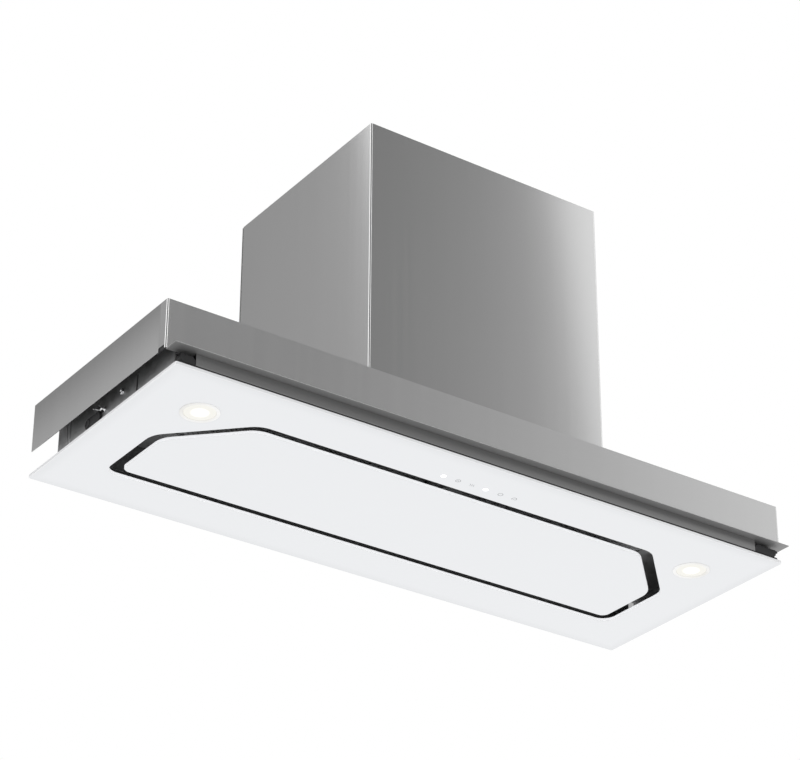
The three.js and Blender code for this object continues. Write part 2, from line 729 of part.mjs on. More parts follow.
// ---- grease filters and their latches
function greaseFilters() {
  bothSides((side, sign) => {
    const cx = (sign * filterSpacing) / 2;
    const halfX = filterWidth / 2;
    const y0 = filterFront;
    const y1 = filterRear;
    const top = deckTop + gap + latchPlate;
    const foot = top - filterThickness;
    const frame = holed(
      rectangle(cx - halfX, cx + halfX, y0, y1),
      rectangle(cx - halfX + filterBar, cx + halfX - filterBar, y0 + filterBar, y1 - filterBar),
    );
    const tongues = [-1, 1].map((s) => {
      const tx = cx + (s * filterWidth) / 3;
      const half = tongueWidth / 2;
      return block(tx - half, tx + half, y1 - bite, y1 + tongueReach, deckTop + gap, top);
    });
    const latchY = y0 + filterBar / 2;
    const slotHalf = latchStem / 2 + runningClearance;
    const slotRear = latchY + slotHalf + latchTravel;
    const slot = block(cx - slotHalf, cx + slotHalf, latchY - slotHalf, slotRear, foot - past, top + past);
    add(`filter_frame_${side}`, cut(join(upright(frame, foot, top), ...tongues), slot), zincSteel);

    const mesh = block(
      cx - halfX + filterBar + gap, cx + halfX - filterBar - gap,
      y0 + filterBar + gap, y1 - filterBar - gap, foot + meshInset, top - meshInset,
    );
    add(`filter_mesh_${side}`, mesh, aluminiumMesh);

    const plateLow = top + gap;
    const tongue = block(
      cx - latchWidth / 2, cx + latchWidth / 2,
      y0 - filterFit - latchReach, latchY + latchDepth / 2, plateLow, plateLow + latchPlate,
    );
    const knobTop = foot - gap;
    const half = latchStem / 2;
    const stem = block(cx - half, cx + half, latchY - half, latchY + half, knobTop - bite, plateLow + bite);
    const knob = bar('z', latchKnobRadius, knobTop - latchKnobHeight, knobTop, cx, latchY, 20);
    add(`filter_latch_${side}`, join(tongue, stem, knob), blackPlastic);
  });
}

// ---- blower
// The scroll's inner line grows evenly from the cut-off round to the outlet, as seen along X.
const scrollPoint = (degrees, offset) => {
  const share = (degrees - cutOffAngle) / (360 - cutOffAngle);
  const radius = scrollBaseRadius + scrollGrowth * share + offset;
  const angle = THREE.MathUtils.degToRad(degrees);
  return new THREE.Vector2(impellerY + radius * Math.cos(angle), impellerZ + radius * Math.sin(angle));
};

function scrollCasing() {
  const wall = scrollWall;
  const line = (offset) => Array.from({ length: scrollSteps + 1 }, (_, i) =>
    scrollPoint(cutOffAngle + ((360 - cutOffAngle) * i) / scrollSteps, offset));
  const mouth = -scrollTop;
  const neckY = cutOffY - wall;
  const neckFoot = impellerZ + Math.sqrt((scrollBaseRadius + wall) ** 2 - (neckY - impellerY) ** 2);
  const outer = [
    new THREE.Vector2(neckY, mouth), new THREE.Vector2(neckY, neckFoot),
    ...line(wall).slice(1), new THREE.Vector2(mouthBack + wall, mouth),
  ];
  const inner = [
    new THREE.Vector2(cutOffY, mouth + past), ...line(0), new THREE.Vector2(mouthBack, mouth + past),
  ];
  const half = scrollWidth / 2;
  const band = cut(
    lengthwise(new THREE.Shape(outer), -half, half),
    lengthwise(new THREE.Shape(inner), -half - past, half + past),
  );
  add('scroll_band', band, zincSteel);
  bothSides((side, sign) => {
    const [x0, x1] = span(sign, half + gap, half + gap + wall);
    const plate = lengthwise(new THREE.Shape(outer), x0, x1);
    const inlet = bar('x', inletRadius, x0 - past, x1 + past, impellerY, impellerZ, 40);
    add(`scroll_side_${side}`, cut(plate, inlet), zincSteel);
  });
}

function impeller() {
  const half = impellerWidth / 2;
  const centre = [impellerY, impellerZ];
  const disc = bar('x', impellerRadius - discInset, -discThickness / 2, discThickness / 2, ...centre, 36);
  const rings = [-1, 1].map((sign) => {
    const [x0, x1] = span(sign, half - ringThickness, half);
    return cut(
      bar('x', impellerRadius, x0, x1, ...centre, 36),
      bar('x', impellerRadius - bladeDepth, x0 - past, x1 + past, ...centre, 36),
    );
  });
  const blades = Array.from({ length: bladeCount }, (_, i) => {
    const length = impellerWidth - 2 * bladeInset;
    const blade = new THREE.BoxGeometry(length, bladeDepth - 2 * bladeInset, bladeThickness);
    blade.rotateX(THREE.MathUtils.degToRad(bladeAngle));
    blade.translate(0, impellerRadius - bladeDepth / 2 - bladeInset, 0);
    blade.rotateX((2 * Math.PI * i) / bladeCount);
    return blade.translate(0, ...centre);
  });
  const hub = bar('x', hubRadius, -hubLength / 2, hubLength / 2, ...centre, 24);
  const shaft = bar('x', shaftRadius, -shaftShortEnd, shaftLongEnd, ...centre, 16);
  add('impeller', join(disc, ...rings, ...blades, hub, shaft), greyPlastic);
}

// The motor sits inside the impeller and hangs from a cross-shaped bracket over the right inlet.
function motor() {
  const centre = [impellerY, impellerZ];
  const end = motorStart + motorLength;
  const can = bar('x', motorRadius, motorStart, end, ...centre, 32);
  const face = scrollWidth / 2 + scrollWall + 2 * gap;
  const neck = bar('x', motorNeckRadius, end - bite, face + bite, ...centre, 24);
  const reach = inletRadius + bracketArm;
  const half = bracketArm / 2;
  const [y, z] = centre;
  const arms = [
    block(face, face + bracketThickness, y - half, y + half, z - reach, z + reach),
    block(face, face + bracketThickness, y - reach, y + reach, z - half, z + half),
  ];
  const boreRadius = shaftRadius + runningClearance;
  const bore = bar('x', boreRadius, motorStart - past, motorStart + motorBore, ...centre, 16);
  add('motor', cut(join(can, neck, ...arms), bore), motorEnamel);
}

// ---- duct collar with its two non-return flaps
function ductCollar() {
  const foot = -scrollTop + gap;
  const top = -collarTopGap;
  const inside = collarRadius - collarWall;
  const half = scrollWidth / 2;
  const base = block(-half, half, cutOffY, mouthBack, foot, foot + collarFlange);
  const tube = bar('z', collarRadius, foot, top, 0, ductY, 40);
  const bore = bar('z', inside, foot - past, top + past, 0, ductY, 40);
  const reach = collarRadius + past;
  const pinHole = bar('x', flapPinRadius + gap / 3, -reach, reach, ductY, -flapDrop, 16);
  add('duct_collar', cut(join(base, tube), bore, pinHole), greyPlastic);
  add('flap_pin', bar('x', flapPinRadius, -collarRadius, collarRadius, ductY, -flapDrop, 16), zincSteel);

  const radius = inside - flapClearance;
  const start = knuckleRadius + flapClearance;
  const low = -flapDrop - flapThickness / 2;
  const high = low + flapThickness;
  const flaps = [['front', -1, [-knuckleFar, knuckleNear]], ['rear', 1, [-knuckleNear, knuckleFar]]];
  flaps.forEach(([name, sign, knuckles]) => {
    const disc = bar('z', radius, low, high, 0, ductY, 36);
    const [away0, away1] = span(sign, -radius - past, start);
    const away = block(-radius - past, radius + past, ductY + away0, ductY + away1, low - past, high + past);
    const arms = knuckles.flatMap((x) => {
      const [y0, y1] = span(sign, 0, start + bite);
      const x0 = x - knuckleLength / 2;
      const x1 = x + knuckleLength / 2;
      return [
        block(x0, x1, ductY + y0, ductY + y1, low, high),
        bar('x', knuckleRadius, x0, x1, ductY, -flapDrop, 16),
      ];
    });
    const bore = bar('x', flapPinRadius + runningClearance, -radius, radius, ductY, -flapDrop, 16);
    add(`${name}_flap`, cut(join(cut(disc, away), ...arms), bore), greyPlastic);
  });
}

// ---- control box and cable gland
function controlBox() {
  const x1 = -casingWidth / 2 + sheet + controlSideGap + controlWidth;
  const x0 = x1 - controlWidth;
  const y0 = -controlDepth / 2;
  const y1 = controlDepth / 2;
  const z1 = -controlDrop;
  const z0 = z1 - controlHeight;
  const shell = cut(
    block(x0, x1 - controlLid - gap, y0, y1, z0, z1),
    block(
      x0 + controlWall, x1 + past,
      y0 + controlWall, y1 - controlWall, z0 + controlWall, z1 - controlWall,
    ),
  );
  add('control_box', shell, greyPlastic);
  add('control_box_lid', block(x1 - controlLid, x1, y0, y1, z0, z1), greyPlastic);
  const low = -plateThickness - gap - glandHeight;
  const gland = join(
    bar('z', glandNutRadius, low, -plateThickness - gap, glandX, glandY, 6),
    bar('z', glandHoleRadius - sideClearance, low + bite, -collarTopGap, glandX, glandY, 20),
  );
  const passage = bar('z', glandHoleRadius / 2, low - past, past, glandX, glandY, 16);
  add('cable_gland', cut(gland, passage), blackPlastic);
}

ceilingPlate();
cornerPosts();
casing();
canopy();
cornerBlocks();
frontLip();
bodySideWalls();
bodyEndWalls();
filterDeck();
frontStrip();
sideFixings();
glass();
seal();
lamps();
keyBoard();
centrePanel();
panelHinges();
magnetCatch();
greaseFilters();
scrollCasing();
impeller();
motor();
ductCollar();
controlBox();

export default hood;
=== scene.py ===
"""Island range hood: fine shapes, finishes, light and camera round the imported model.

Shapes are worked out in millimetres in the model's own frame: +Z up, +X to the right, -Y to the
front, with the origin in the ceiling face.
"""
import math

import bmesh
import bpy
import numpy as np
from mathutils import Matrix, Vector
from mathutils.geometry import tessellate_polygon


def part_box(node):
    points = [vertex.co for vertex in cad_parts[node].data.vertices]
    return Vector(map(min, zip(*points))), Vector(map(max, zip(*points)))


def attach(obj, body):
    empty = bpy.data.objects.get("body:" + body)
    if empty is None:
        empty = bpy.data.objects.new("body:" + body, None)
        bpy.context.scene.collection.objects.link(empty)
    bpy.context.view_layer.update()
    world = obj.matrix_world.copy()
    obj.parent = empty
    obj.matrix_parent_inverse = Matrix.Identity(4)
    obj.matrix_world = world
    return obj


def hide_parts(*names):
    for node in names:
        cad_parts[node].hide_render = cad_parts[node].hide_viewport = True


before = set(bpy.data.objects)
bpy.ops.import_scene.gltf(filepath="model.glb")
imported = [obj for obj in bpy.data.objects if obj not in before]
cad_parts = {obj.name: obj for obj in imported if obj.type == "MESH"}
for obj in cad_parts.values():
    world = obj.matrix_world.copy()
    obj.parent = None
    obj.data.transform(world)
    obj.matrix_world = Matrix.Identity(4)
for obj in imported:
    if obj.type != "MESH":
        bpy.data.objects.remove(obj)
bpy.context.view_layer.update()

MM = 0.001
SHEET = 1.2
BEND = 3.0
BODY_BEND = 2.0
STRIP_BEND = 1.5
SEAM = 0.6  # between panels laid edge to edge
GAP = 0.3  # between pieces that touch
ARC_STEP = 9.0  # degrees between the points of an arc
ARC_HOLD = 0.4  # from the end of a fold's arc to the point that keeps the flat beside it flat
SHARP_ANGLE = 28.0  # degrees between faces whose edge stays sharp
BODY_SIDE = 580.0  # from the middle to the outside of the inner body's side walls
TAU = 2 * math.pi


def span(node):
    """Lowest and highest corner of a CAD node, in millimetres."""
    low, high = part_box(node)
    return np.array(low) / MM, np.array(high) / MM


# ---- shader maths


class Wire:
    """A socket of a node tree. Arithmetic on it adds Math nodes."""

    def __init__(self, tree, socket=None):
        self.tree, self.socket = tree, socket

    def node(self, kind, settings, sockets, out=0):
        """Adds a node: its settings first, then the values or links of its sockets."""
        made = self.tree.nodes.new(kind)
        for key, value in settings.items():
            setattr(made, key, value)
        for key, value in sockets.items():
            if isinstance(value, Wire):
                self.tree.links.new(value.socket, made.inputs[key])
            else:
                made.inputs[key].default_value = value
        return Wire(self.tree, made.outputs[out])

    def math(self, operation, *values):
        return self.node("ShaderNodeMath", {"operation": operation}, dict(enumerate(values)))

    def __add__(self, other):
        return self.math("ADD", self, other)

    def __sub__(self, other):
        return self.math("SUBTRACT", self, other)

    def __rsub__(self, other):
        return self.math("SUBTRACT", other, self)

    def __mul__(self, other):
        return self.math("MULTIPLY", self, other)

    def __truediv__(self, other):
        return self.math("DIVIDE", self, other)

    def __pow__(self, other):
        return self.math("POWER", self, other)

    __radd__, __rmul__ = __add__, __mul__

    def least(self, other):
        return self.math("MINIMUM", self, other)

    def most(self, other):
        return self.math("MAXIMUM", self, other)

    def size(self):
        return self.math("ABSOLUTE", self)

    def rise(self, low, high):
        """0 below low, 1 above high, and a smooth rise between them."""
        return self.node(
            "ShaderNodeMapRange", {"interpolation_type": "SMOOTHSTEP"},
            {"Value": self, "From Min": low, "From Max": high})

    def mix(self, colour_a, colour_b):
        """Colour a where this value is 0, colour b where it is 1."""
        return self.node(
            "ShaderNodeMix", {"data_type": "RGBA"},
            {0: self, 6: rgba(colour_a), 7: rgba(colour_b)}, out=2)

    def parts(self):
        """The three numbers of a vector."""
        split = self.node("ShaderNodeSeparateXYZ", {}, {0: self})
        return [Wire(self.tree, socket) for socket in split.socket.node.outputs]

    def scaled(self, *factors):
        return self.node("ShaderNodeMapping", {}, {"Vector": self, "Scale": factors})

    def noise(self, scale, detail=2.0, roughness=0.5):
        return self.node(
            "ShaderNodeTexNoise", {},
            {"Vector": self, "Scale": scale, "Detail": detail, "Roughness": roughness})

    def cells(self, scale, feature="F1", out=0):
        return self.node(
            "ShaderNodeTexVoronoi", {"feature": feature}, {"Vector": self, "Scale": scale}, out)

    def bump(self, strength, distance):
        return self.node(
            "ShaderNodeBump", {}, {"Strength": strength, "Distance": distance, "Height": self})


def rgba(colour):
    return colour if isinstance(colour, Wire) else (*colour, 1.0)


def grey(level):
    return (level, level, level)


def material(name, paint, **plain):
    """A Principled material. paint(place) gives the sockets that vary; plain sets the others."""
    made = bpy.data.materials.new(name)
    made.use_nodes = True
    tree = made.node_tree
    shader = tree.nodes["Principled BSDF"]
    place = Wire(tree).node("ShaderNodeTexCoord", {}, {}, out="Object")
    for key, value in plain.items():
        shader.inputs[key.replace("_", " ")].default_value = value
    for key, wire in paint(place).items():
        tree.links.new(wire.socket, shader.inputs[key])
    return made


def facing(place):
    """The surface's own normal, in the piece's frame."""
    normal = place.node("ShaderNodeNewGeometry", {}, {}, out="True Normal")
    return normal.node(
        "ShaderNodeVectorTransform",
        {"vector_type": "NORMAL", "convert_from": "WORLD", "convert_to": "OBJECT"}, {0: normal})


# ---- materials


def brushed(name, grain, level, rough=0.2):
    """Stainless steel whose fine scratches run along one axis; grain gives the scales per metre."""
    def paint(place):
        fine = place.scaled(*grain).noise(1.0, 3.0, 0.65)
        broad = place.scaled(*[g * 0.12 for g in grain]).noise(1.0, 2.0)
        cloud = place.noise(2.3, 2.0)
        tone = fine * 0.3 + broad * 0.3 + cloud * 0.4
        hair = fine.rise(0.35, 0.65)
        return {
            "Base Color": tone.rise(0.3, 0.7).mix(grey(level * 0.985), grey(level * 1.015)),
            "Roughness": rough - 0.02 + 0.03 * broad + 0.02 * cloud,
            "Normal": hair.bump(0.05, 0.00003),
        }
    return material(name, paint, Metallic=1.0)


def zinc(name, level):
    """Galvanised sheet: spangle cells of slightly different tone, and a dull bloom."""
    def paint(place):
        warp = place.noise(35.0, 2.0)
        tone = place.cells(85.0, out="Color").parts()[0]
        edge = place.cells(85.0, "DISTANCE_TO_EDGE").rise(0.0, 0.08)
        bloom = place.noise(9.0, 4.0, 0.6)
        shade = tone * 0.55 + bloom * 0.3 + warp * 0.15
        return {
            "Base Color": shade.mix(grey(level * 0.82), (level * 1.1, level * 1.11, level * 1.13)),
            "Roughness": 0.34 + 0.16 * bloom + 0.06 * tone,
            "Normal": (edge * 0.3 + warp * 0.7).bump(0.12, 0.0003),
        }
    return material(name, paint, Metallic=0.9)


def plated(name, level):
    """Bright zinc plate on a turned part: faint tool rings and thin cloudy patches."""
    def paint(place):
        cloud = place.noise(180.0, 3.0, 0.6)
        rings = place.scaled(2600.0, 40.0, 40.0).noise(1.0, 2.0)
        return {
            "Base Color": cloud.mix(grey(level * 0.9), (level, level * 1.01, level * 1.03)),
            "Roughness": 0.1 + 0.1 * cloud,
            "Normal": rings.bump(0.1, 0.00005),
        }
    return material(name, paint, Metallic=1.0)


def moulded(name, colour, rough, grain=900.0):
    """Moulded plastic: a fine even grain, a little sink and gloss change."""
    def paint(place):
        pebble = place.noise(grain, 2.0, 0.6)
        flow = place.noise(14.0, 3.0)
        dark = tuple(c * 0.8 for c in colour)
        light = tuple(min(1.0, c * 1.2 + 0.004) for c in colour)
        return {
            "Base Color": (flow * 0.7 + pebble * 0.3).rise(0.25, 0.75).mix(dark, light),
            "Roughness": rough - 0.05 + 0.1 * flow + 0.06 * pebble,
            "Normal": pebble.bump(0.25, 0.0001),
        }
    return material(name, paint)


def coated(name, colour, rough):
    """Powder coat or enamel: orange peel, with thin dust in the gloss."""
    def paint(place):
        peel = place.noise(420.0, 2.0, 0.5)
        dust = place.noise(22.0, 4.0, 0.65)
        light = tuple(min(1.0, c * 1.25 + 0.006) for c in colour)
        return {
            "Base Color": dust.rise(0.35, 0.75).mix(colour, light),
            "Roughness": rough - 0.04 + 0.12 * dust,
            "Normal": peel.bump(0.2, 0.0001),
        }
    return material(name, paint)


def foam(name):
    """Closed-cell foam tape: small pores over a soft mottle."""
    def paint(place):
        pore = place.cells(900.0)
        mottle = place.noise(60.0, 3.0)
        return {
            "Base Color": mottle.mix(grey(0.006), grey(0.02)),
            "Roughness": 0.8 + 0.15 * mottle,
            "Normal": pore.bump(0.6, 0.0004),
        }
    return material(name, paint)


def painted_glass(name, half, centre_y):
    """Clear glass painted white behind, under a grey protective coat on its upper side.

    Near the outer edges the colour is painted a little darker: painted shade for the light that
    leaves through the wall. The walls round the inlet glow with a painted light, an emission that
    stands in for the light that the glass carries.
    """
    def paint(place):
        x, y, _ = place.parts()
        tilt = facing(place).parts()[2]
        up = tilt.size()
        coat = tilt.rise(0.9, 0.97)
        wall = 1.0 - up.rise(0.1, 0.3)
        arris = up.rise(0.3, 0.5) * (1.0 - up.rise(0.85, 0.97))
        rim = (half[0] * MM - x.size()).least(half[1] * MM - (y - centre_y * MM).size())
        # painted shade: the face is a little darker near the outer edges
        edge_shade = 1.0 - rim.rise(0.0, 0.024)
        cloud = place.noise(5.0, 2.0)
        # painted light: the inlet walls glow with emission, though they are no lamp
        inner = wall * rim.rise(0.03, 0.05)
        face = (edge_shade * 0.6 + cloud * 0.12).mix((0.832, 0.843, 0.861), (0.76, 0.771, 0.787))
        backed = coat.mix(face, (0.05, 0.052, 0.055))
        walled = wall.mix(backed, (0.84, 0.845, 0.86))
        return {
            "Base Color": arris.mix(walled, (0.88, 0.885, 0.895)),
            "Roughness": 0.03 + 0.03 * cloud + 0.12 * wall + 0.4 * coat,
            "Emission Color": inner.mix((0.0, 0.0, 0.0), (0.42, 0.425, 0.435)),
            "Normal": place.noise(26.0, 2.0).bump(0.03, 0.0002),
        }
    return material(name, paint, Emission_Strength=1.0)


def lens_glow(name, centres):
    """Frosted lens, lit from inside: a hot middle, then a cream disc that is a little lighter at
    its rim.
    """
    def paint(place):
        x, y, _ = place.parts()
        distances = [((x - cx * MM) ** 2.0 + (y - cy * MM) ** 2.0) ** 0.5 for cx, cy in centres]
        radius = distances[0].least(distances[1]) / MM
        hot = 1.0 - radius.rise(4.0, 17.0)
        rim = radius.rise(20.0, 25.0)
        frost = place.noise(1400.0, 2.0)
        disc = rim.mix((0.275, 0.267, 0.238), (0.30, 0.292, 0.262))
        return {
            "Base Color": frost.mix((0.60, 0.595, 0.57), (0.66, 0.655, 0.63)),
            "Roughness": 0.4 + 0.15 * frost,
            "Emission Color": hot.mix(disc, (1.0, 0.995, 0.97)),
            "Normal": frost.bump(0.1, 0.0001),
        }
    return material(name, paint, Emission_Strength=1.0)


def lacquered_board(name):
    """Green lacquered board: copper tracks that show as lighter lines, and tinned pads."""
    def paint(place):
        x = place.parts()[0]
        wave = (x * 260.0 + place.noise(30.0).rise(0.4, 0.6) * 2.0).math("FRACT")
        track = (wave - 0.5).size().rise(0.36, 0.42)
        pad = 1.0 - place.cells(160.0).rise(0.16, 0.2)
        green = track.mix((0.015, 0.11, 0.05), (0.04, 0.2, 0.09))
        return {
            "Base Color": pad.mix(green, (0.55, 0.55, 0.52)),
            "Roughness": 0.35 + 0.15 * track,
            "Normal": (track + pad).bump(0.3, 0.0002),
        }
    return material(name, paint)


def lit_print(name, colour, power):
    """Light that shows through the print under a key, with a fine haze of white."""
    def paint(place):
        haze = place.noise(300.0, 2.0)
        return {
            "Base Color": haze.mix(colour, (1.0, 1.0, 1.0)),
            "Roughness": 0.3 + 0.1 * haze,
            "Emission Color": haze.mix(colour, (1.0, 1.0, 1.0)),
        }
    return material(name, paint, Emission_Strength=power)


UPRIGHT_GRAIN = (1100.0, 1100.0, 7.0)
LENGTH_GRAIN = (7.0, 1100.0, 1100.0)

glass_low, glass_high = span("glass_surround")
lens_boxes = [span("lamp_lens_left"), span("lamp_lens_right")]
lamp_centres = [tuple((low + high)[:2] / 2) for low, high in lens_boxes]
glass_middle_y = (glass_low[1] + glass_high[1]) / 2
glass_half = (glass_high - glass_low)[:2] / 2

casing_steel = brushed("casing_brushed_steel", UPRIGHT_GRAIN, 0.55, 0.16)
canopy_steel = brushed("canopy_brushed_steel", UPRIGHT_GRAIN, 0.645)
# painted shade: the lip and the strip are darker copies of the same brushed steel
shaded_lip_steel = brushed("lip_brushed_steel_painted_shade", LENGTH_GRAIN, 0.36, 0.6)
shaded_strip_steel = brushed("strip_brushed_steel_painted_shade", LENGTH_GRAIN, 0.28, 0.3)
zinc_sheet = zinc("galvanised_sheet", 0.52)
# painted shade: the body walls are a darker copy of the galvanised sheet, for the dark inside the
# body that they reflect
shaded_wall_sheet = zinc("body_wall_sheet_painted_shade", 0.36)
fixing_zinc = plated("plated_fixing", 0.72)
black_moulding = moulded("black_moulding", (0.008, 0.008, 0.009), 0.45)
grey_moulding = moulded("grey_moulding", (0.25, 0.26, 0.27), 0.5)
ring_moulding = moulded("lamp_ring_moulding", (1.0, 0.985, 0.945), 0.3, grain=1300.0)
mark_print = moulded("key_mark_print", (0.34, 0.35, 0.36), 0.35)
foam_tape = foam("foam_tape")
white_glass = painted_glass("back_painted_glass", glass_half, glass_middle_y)
lens_frost = lens_glow("lit_lens", lamp_centres)
aluminium_mesh = zinc("aluminium_mesh", 0.68)
board_lacquer = lacquered_board("board_lacquer")
motor_coat = coated("motor_enamel_coat", (0.03, 0.03, 0.034), 0.35)
key_glow = lit_print("key_glow", (0.93, 0.97, 1.0), 1.0)

CAD_FINISHES = {
    zinc_sheet: [
        "ceiling_plate", "corner_post_front_left", "corner_post_front_right",
        "corner_post_back_left", "corner_post_back_right", "filter_deck", "panel_tray",
        "hinge_bracket_left", "hinge_bracket_right", "magnet_catch", "filter_frame_left",
        "filter_frame_right", "scroll_band", "scroll_side_left", "scroll_side_right", "flap_pin",
        "side_screw_left", "side_screw_right", "wing_screw_left", "wing_screw_right",
    ],
    canopy_steel: [
        "canopy_front_panel", "canopy_back_panel", "canopy_left_panel", "canopy_right_panel",
    ],
    casing_steel: ["casing_wrap", "casing_back_panel"],
    shaded_lip_steel: ["canopy_top_plate", "front_lip"],
    shaded_strip_steel: ["front_strip"],
    shaded_wall_sheet: ["body_left_wall", "body_right_wall", "body_front_wall", "body_back_wall"],
    black_moulding: [
        "corner_block_left", "corner_block_right", "end_cap_left", "end_cap_right", "cable_box",
        "filter_latch_left", "filter_latch_right", "cable_gland",
    ],
    foam_tape: ["glass_seal"],
    white_glass: ["glass_surround", "centre_glass"],
    ring_moulding: ["lamp_ring_left", "lamp_ring_right"],
    lens_frost: ["lamp_lens_left", "lamp_lens_right"],
    aluminium_mesh: ["lamp_body_left", "lamp_body_right", "filter_mesh_left", "filter_mesh_right"],
    board_lacquer: ["touch_key_board"],
    grey_moulding: [
        "impeller", "duct_collar", "front_flap", "rear_flap", "control_box", "control_box_lid",
    ],
    motor_coat: ["motor"],
}
for finish, names in CAD_FINISHES.items():
    for name in names:
        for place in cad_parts[name].material_slots:
            place.material = finish


# ---- outlines: arrays of points in the plane


def bent_line(points, wall, radius):
    """The outer and inner line of a folded sheet, with as many points on each.

    A path is followed with the wall on its left. Where it turns left, the outer line keeps
    the radius and the inner one radius - wall, round the same centre; to the right they swap.
    Two held points close to each end of an arc keep the flats flat.
    """
    points = np.array(points, float)
    runs = np.diff(points, axis=0)
    runs /= np.linalg.norm(runs, axis=1)[:, None]
    normals = np.stack([-runs[:, 1], runs[:, 0]], 1)
    outer, inner = [points[:1]], [points[:1] + normals[0] * wall]
    for i in range(1, len(points) - 1):
        n0, n1, d0, d1 = normals[i - 1], normals[i], runs[i - 1], runs[i]
        turn = math.atan2(d0[0] * d1[1] - d0[1] * d1[0], d0 @ d1)
        if abs(turn) < 1e-6:
            outer.append(points[i:i + 1])
            inner.append(points[i:i + 1] + n0 * wall)
            continue
        side = 1.0 if turn > 0 else -1.0
        reach = radius if turn > 0 else radius - wall
        centre = points[i] + side * (n0 + n1) / (1 + n0 @ n1) * reach
        count = max(2, round(abs(math.degrees(turn)) / ARC_STEP))
        angles = turn * np.arange(count + 1) / count
        spokes = np.stack([n0[0] * np.cos(angles) - n0[1] * np.sin(angles),
                           n0[0] * np.sin(angles) + n0[1] * np.cos(angles)], 1)
        for line, r in ((outer, reach), (inner, reach - side * wall)):
            arc = centre - side * spokes * r
            line.append(np.vstack([arc[:1] - d0 * ARC_HOLD, arc, arc[-1:] + d1 * ARC_HOLD]))
    outer.append(points[-1:])
    inner.append(points[-1:] + normals[-1] * wall)
    return np.vstack(outer), np.vstack(inner)


def rounded_outline(points, radii, step=ARC_STEP):
    """A closed outline whose corners are arcs: each arc runs between the two tangent points."""
    points = np.array(points, float)
    before, after = np.roll(points, 1, 0) - points, np.roll(points, -1, 0) - points
    before /= np.linalg.norm(before, axis=1)[:, None]
    after /= np.linalg.norm(after, axis=1)[:, None]
    pieces = []
    for corner, b, a, radius in zip(points, before, after, radii):
        half = math.acos(np.clip(b @ a, -1, 1)) / 2
        centre = corner + (a + b) / np.linalg.norm(a + b) * radius / math.sin(half)
        start = corner + b * radius / math.tan(half) - centre
        turn = math.copysign(math.pi - 2 * half, a[0] * b[1] - a[1] * b[0])
        count = max(2, round(abs(math.degrees(turn)) / step))
        angles = turn * np.arange(count + 1) / count
        cosine, sine = np.cos(angles), np.sin(angles)
        arc = np.stack([start[0] * cosine - start[1] * sine,
                        start[0] * sine + start[1] * cosine], 1)
        pieces.append(centre + arc)
    return np.vstack(pieces)


def circle(centre, radius, count):
    """Points on a circle, evenly spaced."""
    angles = TAU * np.arange(count) / count
    return np.stack([centre[0] + radius * np.cos(angles), centre[1] + radius * np.sin(angles)], 1)


def inset(outline, distance):
    """A closed outline moved inwards: each point goes along the mean of its two edge normals."""
    before = outline - np.roll(outline, 1, 0)
    after = np.roll(outline, -1, 0) - outline
    before /= np.linalg.norm(before, axis=1)[:, None]
    after /= np.linalg.norm(after, axis=1)[:, None]
    x, y = outline.T
    area = np.sum(x * np.roll(y, -1) - y * np.roll(x, -1))
    mean = before + after
    mitre = np.stack([-mean[:, 1], mean[:, 0]], 1) * math.copysign(1.0, area)
    return outline + mitre * (2 * distance / np.sum(mean * mean, 1))[:, None]


# ---- pieces


def along(axis, outline, level):
    """Points of the plane put at a level on an axis.

    They are (y, z) for the axis x, (x, z) for y and (x, y) for z.
    """
    level = np.full(len(outline), float(level))
    columns = {"x": (level, outline[:, 0], outline[:, 1]),
               "y": (outline[:, 0], level, outline[:, 1]),
               "z": (outline[:, 0], outline[:, 1], level)}[axis]
    return np.stack(columns, 1)


